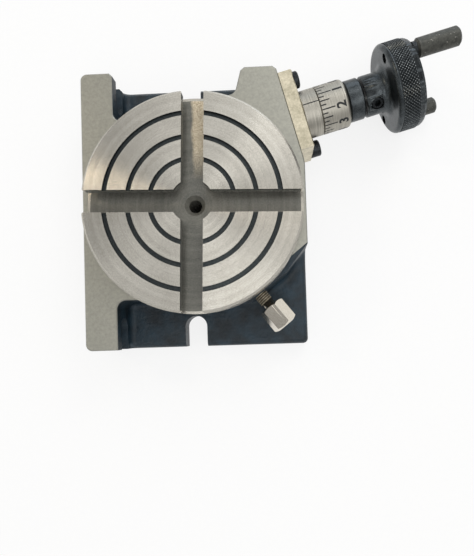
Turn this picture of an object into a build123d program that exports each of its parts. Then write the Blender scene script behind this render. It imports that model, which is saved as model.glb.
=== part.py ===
"""Horizontal and vertical rotary table with a four-slot face plate, a worm drive and a handwheel.

Millimetres, +Z up. The origin is on the table's axis, in the plane of the base's underside.
The upright flange is on the -X side and the handwheel points away on the +X side.
"""

import os
from math import atan, cos, degrees, pi, radians, sin, tan

from build123d import *

# Heights above the underside
table_top = 48.0
table_thickness = 13.1
running_gap = 0.3
shaft_depth = 11.9
foot_thickness = 11.7
fit_clearance = 0.05

# Face plate
table_radius = 50.0
table_chamfer = 1.0
table_turn = -1.9
slot_width = 10.0
slot_depth = 10.0
slot_chamber_width = 16.0
slot_chamber_height = 4.8
slot_mouth_radius = 0.8
ring_radii = (18.95, 28.95, 39.65)
ring_width = 2.2
ring_depth = 1.4
recess_radius = 9.6
centre_bore_radius = 3.0
centre_sink_radius = 4.8
centre_sink_depth = 2.5

# Table spindle, from the face plate down
hub_radius = 17.0
wheel_seat_radius = 12.0
spindle_thread_radius = 11.0
spindle_thread_length = 8.0
journal_bush_wall = 3.0

# Worm pair
gear_module = 1.25
wheel_teeth = 40
wheel_width = 8.0
worm_pitch_radius = 5.5
worm_length = 30.0
tooth_backlash = 0.16
flank_slope = tan(radians(20.0))

# Base casting, in plan
flange_outer_x = -53.5
flange_thickness = 15.2
flange_corner_radius = 3.0
base_half_width = 65.6
foot_corner_radius = 2.5
body_half_width = 42.5
body_right_x = 51.4
body_chamfer_start_y = -18.7
body_chamfer_slope = 38.5
housing_corner_x = 23.0
housing_side_slope = 15.0
housing_wall = 7.0
casting_fillet = 4.0
root_fillet = 3.0
casting_edge = 1.5
machined_edge = 0.5

# Clamping slots of the flange and the foot
clamp_slot_width = 11.0
clamp_slot_reach = 10.0
foot_slot_x = -4.8

# Drive line, along the worm shaft from the foot of the table's perpendicular
drive_angle = 15.0
drive_face = 54.8
drive_bore_radius = 9.0
drive_bore_end = -22.0
inner_bush_length = 6.0
journal_radius = 5.0
shaft_shoulder_radius = 6.5
shaft_shoulder_end = 36.6
outer_bush_radius = 7.0
washer_thickness = 1.2
bracket_thickness = 6.6
bracket_length = 38.0
bracket_height = 23.3
bracket_screw_across = 15.0
bracket_screw_edge = 4.25
bracket_screw_sinks = (2.6, 0.0)
index_sleeve_end = 69.4
dial_radius = 11.4
dial_start = 69.6
dial_end = 83.3
dial_edge_radius = 1.6
dial_bore_radius = 7.5
collar_radius = 9.8
collar_end = 91.0
collar_edge = 0.7

# Handwheel
hub_start = 92.0
wheel_hub_radius = 9.7
wheel_face = 103.2
wheel_back = 116.5
wheel_radius = 21.0
wheel_inner_round = 2.2
wheel_outer_chamfer = 1.0
wheel_flare_radius = 3.4
wheel_seat_end = 113.6
wheel_shaft_radius = 4.0
handle_circle = 17.0
handle_angle = 33.0
long_handle_radius = 4.45
long_handle_length = 20.6
short_handle_radius = 3.9
short_handle_length = 11.6
handle_neck = 1.8
handle_screw_radius = 2.25
handle_screw_reach = 10.0
handle_shoulder_radius = 3.5
handle_head_radius = 2.6
handle_head_height = 2.0
handle_head_sink = 0.5
handle_slot_width = 1.0
handle_edge = 0.9

# Screws
cap_screw_radius = 2.5
cap_head_radius = 4.0
cap_head_height = 5.0
cap_screw_reach = 12.0
cap_socket_flats = 4.0
set_screw_radius = 3.0
set_screw_station = 96.7
set_screw_angle = 49.0
set_screw_length = 5.3
set_screw_flats = 3.0
clamp_angle = -51.5
clamp_offset = -3.4
clamp_face = 50.4
clamp_depth = 3.6
clamp_boss_radius = 6.5
clamp_thread_radius = 3.0
clamp_neck_start = 55.2
clamp_head_start = 57.2
clamp_head_length = 12.0
clamp_head_flats = 11.0
clamp_head_turn = 11.8
clamp_plug_length = 8.0

os.makedirs("parts", exist_ok=True)


def keep(name, label):
    """Labels a finished piece and writes its STEP file."""
    name.part.label = label
    export_step(name.part, f"parts/{label}.step")


# Driving directions: along the worm shaft, across it away from the table, and up
along = Vector(cos(radians(drive_angle)), sin(radians(drive_angle)), 0)
across = Vector(-sin(radians(drive_angle)), cos(radians(drive_angle)), 0)
up = Vector(0, 0, 1)
table_underside = table_top - table_thickness
body_top = table_underside - running_gap
shaft_height = body_top - shaft_depth
clamp_height = body_top - clamp_depth
bracket_screw_up = bracket_height / 2 - bracket_screw_edge
wheel_pitch_radius = gear_module * wheel_teeth / 2
centre_distance = wheel_pitch_radius + worm_pitch_radius
shaft_foot = across * centre_distance + up * shaft_height
shaft_axis = Axis(shaft_foot, along)
shaft_profile = Plane(origin=shaft_foot, x_dir=along, z_dir=(0, 0, 1))


def station(distance):
    """Plane square to the worm shaft, with local x away from the table and local y up."""
    return Plane(origin=shaft_foot + along * distance, x_dir=across, z_dir=along)


def turned(points):
    """Solid of revolution about the worm shaft from (distance along, radius) corners."""
    with BuildSketch(shaft_profile) as profile:
        with BuildLine():
            Polyline(*points, close=True)
        make_face()
    revolve(profile.sketch, axis=shaft_axis)


def ring(inner, outer, bottom, top):
    """Upright ring about the table's axis."""
    with BuildSketch(Plane.XY.offset(bottom)) as outline:
        Circle(outer)
        Circle(inner, mode=Mode.SUBTRACT)
    extrude(outline.sketch, amount=top - bottom)


# Table disc with its spindle
slot_floor = table_top - slot_depth
wheel_top = shaft_height + wheel_width / 2
wheel_bottom = shaft_height - wheel_width / 2
thrust_washer_thickness = 1.0
cavity_top = wheel_top + thrust_washer_thickness + 2 * fit_clearance
nut_washer_thickness = 1.2
spindle_end = wheel_bottom - nut_washer_thickness - spindle_thread_length
table_plane = Plane.XY.rotated((0, 0, table_turn))
key_width = 5.0
key_height = 5.0
key_length = wheel_width - 1.0
key_angle = 90.0
key_middle = wheel_seat_radius - 3.0 + key_height / 2

with BuildPart() as table_disc:
    with BuildSketch(Plane.XZ):
        with BuildLine():
            Polyline(
                (0, table_top),
                (table_radius - table_chamfer, table_top),
                (table_radius, table_top - table_chamfer),
                (table_radius, table_underside + table_chamfer),
                (table_radius - table_chamfer, table_underside),
                (hub_radius, table_underside),
                (hub_radius, wheel_top),
                (wheel_seat_radius, wheel_top),
                (wheel_seat_radius, wheel_bottom),
                (spindle_thread_radius, wheel_bottom),
                (spindle_thread_radius, spindle_end + machined_edge),
                (spindle_thread_radius - machined_edge, spindle_end),
                (0, spindle_end),
                close=True,
            )
        make_face()
    revolve(axis=Axis.Z)
    # T-slots, crossing at the centre
    for slot_angle in (0, 90):
        slot_plane = table_plane.rotated((0, 0, slot_angle))
        with BuildSketch(slot_plane.offset(slot_floor)):
            Rectangle(2.2 * table_radius, slot_width)
        extrude(amount=slot_depth, mode=Mode.SUBTRACT)
        with BuildSketch(slot_plane.offset(slot_floor)):
            Rectangle(2.2 * table_radius, slot_chamber_width)
        extrude(amount=slot_chamber_height, mode=Mode.SUBTRACT)
    # Round recess where the slots cross
    with BuildSketch(Plane.XY.offset(slot_floor)):
        Circle(recess_radius)
    extrude(amount=slot_depth, mode=Mode.SUBTRACT)
    # Ring grooves
    for ring_radius in ring_radii:
        with BuildSketch(Plane.XY.offset(table_top - ring_depth)):
            Circle(ring_radius + ring_width / 2)
            Circle(ring_radius - ring_width / 2, mode=Mode.SUBTRACT)
        extrude(amount=ring_depth, mode=Mode.SUBTRACT)
    # Centre bore with its countersink
    with BuildSketch(Plane.XZ):
        with BuildLine():
            Polyline(
                (0, slot_floor + 1),
                (centre_sink_radius, slot_floor + 1),
                (centre_sink_radius, slot_floor),
                (centre_bore_radius, slot_floor - centre_sink_depth),
                (centre_bore_radius, spindle_end - 1),
                (0, spindle_end - 1),
                close=True,
            )
        make_face()
    revolve(axis=Axis.Z, mode=Mode.SUBTRACT)
    # Keyway for the worm wheel
    with BuildSketch(Plane.XY.offset(wheel_bottom)):
        with PolarLocations(key_middle, 1, start_angle=key_angle):
            Rectangle(key_height, key_width)
    extrude(amount=key_length, mode=Mode.SUBTRACT)
    # The slots' mouths are broken at the rim
    mouth_edges = (
        table_disc.edges()
        .filter_by(Axis.Z)
        .filter_by(lambda e: abs(Vector(e.center().X, e.center().Y, 0).length - table_radius) < 0.05)
        .filter_by(lambda e: e.center().Z > slot_floor + slot_chamber_height)
    )
    fillet(mouth_edges, radius=slot_mouth_radius)
keep(table_disc, "table_disc")

# Base casting: foot, upright flange and the body that carries the table and the worm
flange_inner_x = flange_outer_x + flange_thickness
journal_bush_radius = hub_radius + fit_clearance + journal_bush_wall
cavity_radius = wheel_pitch_radius + gear_module + 1.5
clamp_direction = Vector(cos(radians(clamp_angle)), sin(radians(clamp_angle)), 0)
clamp_side = Vector(-sin(radians(clamp_angle)), cos(radians(clamp_angle)), 0)
clamp_axis_point = clamp_side * clamp_offset + up * clamp_height


def line_crossing(normal_a, distance_a, normal_b, distance_b):
    """Point where two lines in plan cross, each given by its normal's angle and its distance."""
    ax, ay = cos(radians(normal_a)), sin(radians(normal_a))
    bx, by = cos(radians(normal_b)), sin(radians(normal_b))
    span = ax * by - ay * bx
    return ((distance_a * by - distance_b * ay) / span, (ax * distance_b - bx * distance_a) / span)


chamfer_distance = body_right_x * cos(radians(body_chamfer_slope)) - body_chamfer_start_y * sin(
    radians(body_chamfer_slope)
)
housing_side_normal = 180 - housing_side_slope
housing_side_distance = housing_corner_x * cos(radians(housing_side_normal)) + base_half_width * sin(
    radians(housing_side_normal)
)
housing_wall_distance = centre_distance + drive_bore_radius + housing_wall
body_outline = [
    (flange_inner_x - casting_fillet, -body_half_width),
    line_crossing(-90, body_half_width, clamp_angle, clamp_face),
    line_crossing(clamp_angle, clamp_face, -body_chamfer_slope, chamfer_distance),
    (body_right_x, body_chamfer_start_y),
    line_crossing(0, body_right_x, drive_angle, drive_face),
    line_crossing(drive_angle, drive_face, 90, base_half_width),
    (housing_corner_x, base_half_width),
    line_crossing(housing_side_normal, housing_side_distance, drive_angle + 90, housing_wall_distance),
    line_crossing(drive_angle + 90, housing_wall_distance, 90, body_half_width),
    (flange_inner_x - casting_fillet, body_half_width),
]

foot_outline = [
    (flange_inner_x - 2, -base_half_width),
    (body_right_x, -base_half_width),
    line_crossing(0, body_right_x, drive_angle, drive_face),
    line_crossing(drive_angle, drive_face, 90, base_half_width),
    (flange_inner_x - 2, base_half_width),
]
inside_points = [(flange_inner_x, -body_half_width), body_outline[7], (flange_inner_x, body_half_width)]

flange_points = [(flange_outer_x, -base_half_width), (flange_outer_x, base_half_width)]


def corners_at(sketch, points):
    """Vertices of a sketch that lie on the given points."""
    return sketch.vertices().filter_by(
        lambda c: any(Vector(c.X - x, c.Y - y, 0).length < 0.1 for x, y in points)
    )


clamp_plane = Plane(origin=clamp_axis_point, x_dir=clamp_side, z_dir=clamp_direction)

with BuildPart() as base_casting:
    # Low foot
    with BuildSketch(Plane.XY) as foot_sketch:
        with BuildLine():
            Polyline(*foot_outline, close=True)
        make_face()
        fillet(corners_at(foot_sketch, foot_outline[1:4]), radius=foot_corner_radius)
    extrude(amount=foot_thickness)
    # Upright flange and body
    with BuildSketch(Plane.XY) as upright_sketch:
        with BuildLine():
            Polyline(*body_outline, close=True)
        make_face()
        with Locations((flange_outer_x + flange_thickness / 2, 0)):
            Rectangle(flange_thickness, 2 * base_half_width)
        fillet(corners_at(upright_sketch, inside_points), radius=casting_fillet)
        fillet(corners_at(upright_sketch, body_outline[2:3]), radius=casting_edge)
        fillet(corners_at(upright_sketch, flange_points), radius=flange_corner_radius)
    extrude(amount=body_top)
    # Cast fillet where the walls rise from the foot
    wall_roots = (
        base_casting.edges()
        .filter_by_position(Axis.Z, foot_thickness - 0.01, foot_thickness + 0.01)
        .filter_by(lambda e: abs(e.center().Y) < base_half_width - 0.5)
        .filter_by(lambda e: e.center().X < body_right_x - 0.1)
    )
    fillet(wall_roots, radius=root_fillet)
    # Upright corners of the housing
    housing_corners = base_casting.edges().filter_by(
        lambda e: any(
            Vector(e.center().X - x, e.center().Y - y, 0).length < 0.1 and e.length > foot_thickness
            for x, y in body_outline[4:7]
        )
    )
    chamfer(housing_corners, length=casting_edge)
    # Machined edges of the top
    top_edges = base_casting.faces().sort_by(Axis.Z)[-1].outer_wire().edges()
    chamfer(top_edges, length=machined_edge)
    # Boss round the clamp bolt
    with BuildSketch(clamp_plane.offset(clamp_face - 12)):
        Circle(clamp_boss_radius)
    extrude(amount=12)
    split(bisect_by=Plane.XY.offset(body_top), keep=Keep.BOTTOM)
    # Open slots of the upright flange, for bolting the table on edge
    for side in (-1, 1):
        slot_end = base_half_width - clamp_slot_reach
        with BuildSketch(Plane.YZ.offset(flange_outer_x)):
            with Locations((side * slot_end, shaft_height)):
                Circle(clamp_slot_width / 2)
            with Locations((side * (slot_end + clamp_slot_reach), shaft_height)):
                Rectangle(2 * clamp_slot_reach, clamp_slot_width)
        extrude(amount=flange_thickness, mode=Mode.SUBTRACT)
    # Open slots of the foot, for bolting the table flat
    for side in (-1, 1):
        slot_end = base_half_width - clamp_slot_reach
        with BuildSketch(Plane.XY):
            with Locations((foot_slot_x, side * slot_end)):
                Circle(clamp_slot_width / 2)
            with Locations((foot_slot_x, side * (slot_end + clamp_slot_reach))):
                Rectangle(clamp_slot_width, 2 * clamp_slot_reach)
        extrude(amount=foot_thickness + root_fillet, mode=Mode.SUBTRACT)
    # Cavity of the worm wheel, open below, and the seat of the journal bush
    with BuildSketch(Plane.XY):
        Circle(cavity_radius)
    extrude(amount=cavity_top, mode=Mode.SUBTRACT)
    with BuildSketch(Plane.XY):
        Circle(journal_bush_radius)
    extrude(amount=body_top, mode=Mode.SUBTRACT)
    # Bore of the worm shaft
    with BuildSketch(station(drive_bore_end)):
        Circle(drive_bore_radius)
    extrude(amount=drive_face - drive_bore_end + 5, mode=Mode.SUBTRACT)
    # Tapped holes of the bracket screws
    with BuildSketch(station(drive_face)):
        with Locations(
            (bracket_screw_across, bracket_screw_up), (-bracket_screw_across, -bracket_screw_up)
        ):
            Circle(cap_screw_radius)
    extrude(amount=-cap_screw_reach, mode=Mode.SUBTRACT)
    # Tapped hole of the clamp bolt, from the journal bush out
    with BuildSketch(clamp_plane):
        Circle(clamp_thread_radius)
    extrude(amount=clamp_face + 1, mode=Mode.SUBTRACT)
keep(base_casting, "base_casting")

# Bearing of the table's spindle
with BuildPart() as journal_bush:
    ring(hub_radius + fit_clearance, journal_bush_radius, cavity_top, body_top)
    with BuildSketch(clamp_plane):
        Circle(clamp_thread_radius)
    extrude(amount=clamp_face, mode=Mode.SUBTRACT)
keep(journal_bush, "journal_bush")

with BuildPart() as thrust_washer:
    ring(
        hub_radius + 2 * fit_clearance,
        wheel_pitch_radius,
        wheel_top + fit_clearance,
        wheel_top + fit_clearance + thrust_washer_thickness,
    )
keep(thrust_washer, "thrust_washer")

# Worm wheel: straight-sided teeth, twisted across the width by the worm's lead
tooth_pitch = pi * gear_module
lead_angle = degrees(atan(tooth_pitch / (2 * pi * worm_pitch_radius)))
tooth_half = tooth_pitch / 4 - tooth_backlash / 2
tooth_rise = gear_module
tooth_drop = 1.2 * gear_module
tooth_bite = 0.3
twist = degrees(wheel_width / 2 * tan(radians(lead_angle)) / wheel_pitch_radius)
wheel_root_radius = wheel_pitch_radius - tooth_drop
mesh_angle = drive_angle + 90

with BuildPart() as wheel_tooth:
    for height, turn in ((wheel_bottom, -twist), (wheel_top, twist)):
        with BuildSketch(Plane.XY.offset(height).rotated((0, 0, mesh_angle + 180 / wheel_teeth + turn))):
            with Locations((wheel_pitch_radius, 0)):
                Polygon(
                    (-tooth_drop - tooth_bite, -tooth_half - tooth_drop * flank_slope),
                    (-tooth_drop, -tooth_half - tooth_drop * flank_slope),
                    (0, -tooth_half),
                    (tooth_rise, -tooth_half + 1.15 * tooth_rise * flank_slope),
                    (tooth_rise, tooth_half - 1.15 * tooth_rise * flank_slope),
                    (0, tooth_half),
                    (-tooth_drop, tooth_half + tooth_drop * flank_slope),
                    (-tooth_drop - tooth_bite, tooth_half + tooth_drop * flank_slope),
                    align=None,
                )
    loft(ruled=True)

with BuildPart() as worm_wheel:
    ring(wheel_seat_radius, wheel_root_radius, wheel_bottom, wheel_top)
    with PolarLocations(0, wheel_teeth):
        add(wheel_tooth.part)
    with BuildSketch(Plane.XY.offset(wheel_bottom)):
        with PolarLocations(key_middle, 1, start_angle=key_angle):
            Rectangle(key_height, key_width)
    extrude(amount=key_length, mode=Mode.SUBTRACT)
keep(worm_wheel, "worm_wheel")

with BuildPart() as wheel_key:
    with BuildSketch(Plane.XY.offset(wheel_bottom)):
        with PolarLocations(key_middle, 1, start_angle=key_angle):
            Rectangle(key_height, key_width)
    extrude(amount=key_length)
keep(wheel_key, "wheel_key")

# Washer and slotted nut that hold the worm wheel on the spindle
nut_top = wheel_bottom - nut_washer_thickness
nut_height = 6.5
nut_radius = 17.0
nut_slot_width = 4.0
nut_slot_depth = 2.0

with BuildPart() as nut_washer:
    ring(spindle_thread_radius + fit_clearance, nut_radius + 1, nut_top, wheel_bottom)
keep(nut_washer, "nut_washer")

with BuildPart() as lock_nut:
    ring(spindle_thread_radius, nut_radius, nut_top - nut_height, nut_top)
    with BuildSketch(Plane.XY.offset(nut_top - nut_height)):
        with PolarLocations(nut_radius, 4):
            Rectangle(2 * nut_slot_depth, nut_slot_width)
    extrude(amount=nut_height, mode=Mode.SUBTRACT)
    chamfer(lock_nut.faces().sort_by(Axis.Z)[0].outer_wire().edges(), length=machined_edge)
keep(lock_nut, "lock_nut")

# Worm shaft: worm, shoulder, long journal and the seat of the handwheel
shaft_start = drive_bore_end + 0.7
worm_root_radius = worm_pitch_radius - tooth_drop
thread_turns = 7
thread_length = thread_turns * tooth_pitch

with BuildPart() as worm_thread:
    with BuildLine() as thread_line:
        Helix(pitch=tooth_pitch, height=thread_length, radius=worm_pitch_radius)
    with BuildSketch(Plane(origin=thread_line.line @ 0, x_dir=(1, 0, 0), z_dir=thread_line.line % 0)):
        Polygon(
            (-tooth_drop - tooth_bite, -tooth_half - tooth_drop * flank_slope),
            (-tooth_drop, -tooth_half - tooth_drop * flank_slope),
            (tooth_rise, -tooth_half + tooth_rise * flank_slope),
            (tooth_rise, tooth_half - tooth_rise * flank_slope),
            (-tooth_drop, tooth_half + tooth_drop * flank_slope),
            (-tooth_drop - tooth_bite, tooth_half + tooth_drop * flank_slope),
            align=None,
        )
    sweep(path=thread_line.line, is_frenet=True)

with BuildPart() as worm_shaft:
    turned(
        [
            (shaft_start, 0),
            (shaft_start, journal_radius - machined_edge),
            (shaft_start + machined_edge, journal_radius),
            (-worm_length / 2, journal_radius),
            (-worm_length / 2, worm_root_radius),
            (worm_length / 2, worm_root_radius),
            (worm_length / 2, shaft_shoulder_radius),
            (shaft_shoulder_end, shaft_shoulder_radius),
            (shaft_shoulder_end, journal_radius),
            (hub_start, journal_radius),
            (hub_start, wheel_shaft_radius),
            (wheel_seat_end - machined_edge, wheel_shaft_radius),
            (wheel_seat_end, wheel_shaft_radius - machined_edge),
            (wheel_seat_end, 0),
        ]
    )
    with Locations(station(-thread_length / 2)):
        add(worm_thread.part)
keep(worm_shaft, "worm_shaft")


def tube(inner, outer, start, end):
    """Ring about the worm shaft, between two distances along it."""
    with BuildSketch(station(start)) as outline:
        Circle(outer)
        Circle(inner, mode=Mode.SUBTRACT)
    extrude(outline.sketch, amount=end - start)


# Bearings of the worm shaft
bearing_radius = journal_radius + fit_clearance
sleeve_start = shaft_shoulder_end + washer_thickness + 2 * fit_clearance
bracket_outer = drive_face + bracket_thickness

with BuildPart() as inner_bush:
    tube(bearing_radius, drive_bore_radius, drive_bore_end, drive_bore_end + inner_bush_length)
keep(inner_bush, "inner_bush")

with BuildPart() as worm_thrust_washer:
    tube(
        bearing_radius,
        outer_bush_radius,
        shaft_shoulder_end + fit_clearance,
        shaft_shoulder_end + fit_clearance + washer_thickness,
    )
keep(worm_thrust_washer, "worm_thrust_washer")

with BuildPart() as outer_bush:
    tube(bearing_radius, outer_bush_radius, sleeve_start, index_sleeve_end)
keep(outer_bush, "outer_bush")

# Flanged sleeve that holds the bearing and carries the index line
with BuildPart() as index_sleeve:
    tube(outer_bush_radius, drive_bore_radius, sleeve_start, bracket_outer)
    tube(outer_bush_radius, dial_radius, bracket_outer, index_sleeve_end)
    chamfer(
        index_sleeve.edges().filter_by(GeomType.CIRCLE).sort_by(SortBy.RADIUS)[-2:],
        length=machined_edge / 2,
    )
keep(index_sleeve, "index_sleeve")

# Bracket plate that closes the drive bore, and its two cap screws
bracket_screw_places = (
    (bracket_screw_across, bracket_screw_up),
    (-bracket_screw_across, -bracket_screw_up),
)

with BuildPart() as bracket_plate:
    with BuildSketch(station(drive_face)):
        Rectangle(bracket_length, bracket_height)
        Circle(drive_bore_radius + fit_clearance, mode=Mode.SUBTRACT)
        with Locations(*bracket_screw_places):
            Circle(cap_screw_radius + 2 * fit_clearance, mode=Mode.SUBTRACT)
    extrude(amount=bracket_thickness)
    chamfer(bracket_plate.faces().sort_by(shaft_axis)[-1].outer_wire().edges(), length=machined_edge)
    # Counterbore of the far screw
    with BuildSketch(station(bracket_outer)):
        with Locations(bracket_screw_places[0]):
            Circle(cap_head_radius + running_gap / 2)
    extrude(amount=-bracket_screw_sinks[0], mode=Mode.SUBTRACT)
keep(bracket_plate, "bracket_plate")

for screw_place, sink, screw_name in zip(bracket_screw_places, bracket_screw_sinks, ("far", "near")):
    head_seat = bracket_outer - sink
    with BuildPart() as bracket_screw:
        with BuildSketch(station(head_seat - cap_screw_reach)):
            with Locations(screw_place):
                Circle(cap_screw_radius)
        extrude(amount=cap_screw_reach)
        with BuildSketch(station(head_seat)):
            with Locations(screw_place):
                Circle(cap_head_radius)
        extrude(amount=cap_head_height)
        chamfer(bracket_screw.faces().sort_by(shaft_axis)[-1].edges(), length=machined_edge)
        with BuildSketch(station(head_seat + cap_head_height)):
            with Locations(screw_place):
                RegularPolygon(radius=cap_socket_flats / 2, side_count=6, major_radius=False)
        extrude(amount=-cap_head_height / 2, mode=Mode.SUBTRACT)
    keep(bracket_screw, f"bracket_screw_{screw_name}")

# Graduated dial, turning on the collar that is fixed to the worm shaft
with BuildPart() as dial:
    tube(dial_bore_radius, dial_radius, dial_start, dial_end)
    dial_rims = dial.edges().filter_by(GeomType.CIRCLE).sort_by(SortBy.RADIUS)[-2:].sort_by(shaft_axis)
    chamfer(dial_rims[0], length=machined_edge / 2)
    fillet(dial.edges().filter_by(GeomType.CIRCLE).group_by(SortBy.RADIUS)[-1].sort_by(shaft_axis)[-1], radius=dial_edge_radius)
keep(dial, "dial")

collar_face = dial_end + 4 * fit_clearance
with BuildPart() as dial_collar:
    tube(journal_radius, dial_bore_radius - fit_clearance, index_sleeve_end + running_gap, collar_face)
    tube(journal_radius, collar_radius, collar_face, collar_end)
    collar_rims = dial_collar.edges().filter_by(GeomType.CIRCLE).group_by(SortBy.RADIUS)[-1]
    chamfer(collar_rims, length=collar_edge)
keep(dial_collar, "dial_collar")


# Handwheel
def crank_point(turn, distance):
    """Point on the handles' circle, by its turn from the top toward the far side."""
    return (
        shaft_foot
        + along * distance
        + across * handle_circle * sin(radians(turn))
        + up * handle_circle * cos(radians(turn))
    )


def crank_plane(turn, distance):
    """Plane square to a handle's axis at a distance along the worm shaft."""
    return Plane(origin=crank_point(turn, distance), x_dir=across, z_dir=along)


set_screw_direction = up * cos(radians(set_screw_angle)) - across * sin(radians(set_screw_angle))
set_screw_plane = Plane(
    origin=shaft_foot + along * set_screw_station, x_dir=along, z_dir=set_screw_direction
)
handle_turns = (handle_angle, handle_angle + 180)

with BuildPart() as handwheel:
    tube(wheel_shaft_radius, wheel_hub_radius, hub_start, wheel_face)
    chamfer(
        handwheel.edges().filter_by(GeomType.CIRCLE).group_by(SortBy.RADIUS)[-1].sort_by(shaft_axis)[0],
        length=machined_edge,
    )
    tube(wheel_shaft_radius, wheel_radius, wheel_face, wheel_back)
    rims = handwheel.edges().filter_by(GeomType.CIRCLE).group_by(SortBy.RADIUS)[-1].sort_by(shaft_axis)
    fillet(rims[0], radius=wheel_inner_round)
    chamfer(rims[-1], length=wheel_outer_chamfer)
    hub_roots = handwheel.edges().filter_by(GeomType.CIRCLE).filter_by(
        lambda e: abs(e.radius - wheel_hub_radius) < 0.01
    )
    fillet(hub_roots.sort_by(shaft_axis)[-1], radius=wheel_flare_radius)
    # Recess in the outer face, round the end of the shaft
    with BuildSketch(station(wheel_seat_end)):
        Circle(wheel_hub_radius)
    extrude(amount=wheel_back - wheel_seat_end, mode=Mode.SUBTRACT)
    # Tapped holes of the handles and of the set screw
    for turn in handle_turns:
        with BuildSketch(crank_plane(turn, wheel_face)):
            Circle(handle_screw_radius)
        extrude(amount=wheel_back - wheel_face, mode=Mode.SUBTRACT)
    with BuildSketch(set_screw_plane):
        Circle(set_screw_radius)
    extrude(amount=wheel_hub_radius, mode=Mode.SUBTRACT)
keep(handwheel, "handwheel")

with BuildPart() as hub_set_screw:
    with BuildSketch(set_screw_plane.offset(wheel_shaft_radius)):
        Circle(set_screw_radius)
    extrude(amount=set_screw_length)
    chamfer(
        hub_set_screw.edges().filter_by(GeomType.CIRCLE),
        length=machined_edge,
    )
    with BuildSketch(set_screw_plane.offset(wheel_shaft_radius + set_screw_length)):
        RegularPolygon(radius=set_screw_flats / 2, side_count=6, major_radius=False)
    extrude(amount=-set_screw_length / 2, mode=Mode.SUBTRACT)
keep(hub_set_screw, "hub_set_screw")

# Revolving handles, each on a shouldered screw with its head sunk in the handle's end
grip_start = wheel_back + handle_neck
for turn, grip_radius, grip_length, handle_name in (
    (handle_turns[0], long_handle_radius, long_handle_length, "long_handle"),
    (handle_turns[1], short_handle_radius, short_handle_length, "short_handle"),
):
    grip_end = grip_start + grip_length
    head_seat = grip_end - handle_head_height - handle_head_sink
    with BuildPart() as grip:
        with BuildSketch(crank_plane(turn, grip_start)):
            Circle(grip_radius)
        extrude(amount=grip_length)
        chamfer(grip.edges().filter_by(GeomType.CIRCLE), length=handle_edge)
        with BuildSketch(crank_plane(turn, grip_start)):
            Circle(handle_screw_radius + fit_clearance)
        extrude(amount=grip_length, mode=Mode.SUBTRACT)
        with BuildSketch(crank_plane(turn, head_seat)):
            Circle(handle_head_radius + running_gap)
        extrude(amount=grip_end - head_seat, mode=Mode.SUBTRACT)
    keep(grip, handle_name)
    with BuildPart() as handle_screw:
        with BuildSketch(crank_plane(turn, wheel_back - handle_screw_reach)):
            Circle(handle_screw_radius)
        extrude(amount=head_seat + fit_clearance - wheel_back + handle_screw_reach)
        with BuildSketch(crank_plane(turn, wheel_back)):
            Circle(handle_shoulder_radius)
        extrude(amount=handle_neck - fit_clearance)
        with BuildSketch(crank_plane(turn, head_seat + fit_clearance)):
            Circle(handle_head_radius)
        extrude(amount=handle_head_height)
        with BuildSketch(crank_plane(turn, head_seat + fit_clearance + handle_head_height)):
            Rectangle(2 * handle_head_radius, handle_slot_width)
        extrude(amount=-handle_head_height / 2, mode=Mode.SUBTRACT)
    keep(handle_screw, f"{handle_name}_screw")

# Clamp of the table: brass plug on the spindle, pressed by a hexagon bolt
plug_tip = hub_radius + running_gap
plug_end = plug_tip + clamp_plug_length
clamp_shank_radius = clamp_thread_radius - fit_clearance

with BuildPart() as clamp_plug:
    with BuildSketch(clamp_plane.offset(plug_tip - 1)):
        Circle(clamp_shank_radius)
    extrude(amount=clamp_plug_length + 1)
    with BuildSketch(Plane.XY):
        Circle(plug_tip)
    extrude(amount=table_top, mode=Mode.SUBTRACT)
keep(clamp_plug, "clamp_plug")

with BuildPart() as clamp_bolt:
    with BuildSketch(clamp_plane.offset(clamp_head_start)):
        RegularPolygon(
            radius=clamp_head_flats / 2, side_count=6, major_radius=False, rotation=clamp_head_turn
        )
    extrude(amount=clamp_head_length)
    # Both ends of the hexagon are rounded off
    head_corner = clamp_head_flats / 2 / cos(radians(30)) + machined_edge
    head_ring = clamp_head_flats / 2 - 2 * machined_edge
    head_end = clamp_head_start + clamp_head_length
    with BuildSketch(Plane(origin=clamp_axis_point, x_dir=clamp_direction, z_dir=(0, 0, 1))):
        with BuildLine():
            Polyline(
                (clamp_head_start, 0),
                (clamp_head_start, head_ring),
                (clamp_head_start + machined_edge, clamp_head_flats / 2),
                (clamp_head_start + 3 * machined_edge, head_corner),
                (head_end - 3 * machined_edge, head_corner),
                (head_end - machined_edge, clamp_head_flats / 2),
                (head_end, head_ring),
                (head_end, 0),
                close=True,
            )
        make_face()
    revolve(axis=Axis(clamp_axis_point, clamp_direction), mode=Mode.INTERSECT)
    with BuildSketch(clamp_plane.offset(plug_end)):
        Circle(clamp_shank_radius)
    extrude(amount=clamp_neck_start - plug_end)
    with BuildSketch(clamp_plane.offset(clamp_neck_start)):
        Circle(clamp_thread_radius)
    extrude(amount=clamp_head_start - clamp_neck_start)
keep(clamp_bolt, "clamp_bolt")
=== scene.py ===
from math import cos, pi, radians, sin

import bpy
from mathutils import Matrix, Vector


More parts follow.
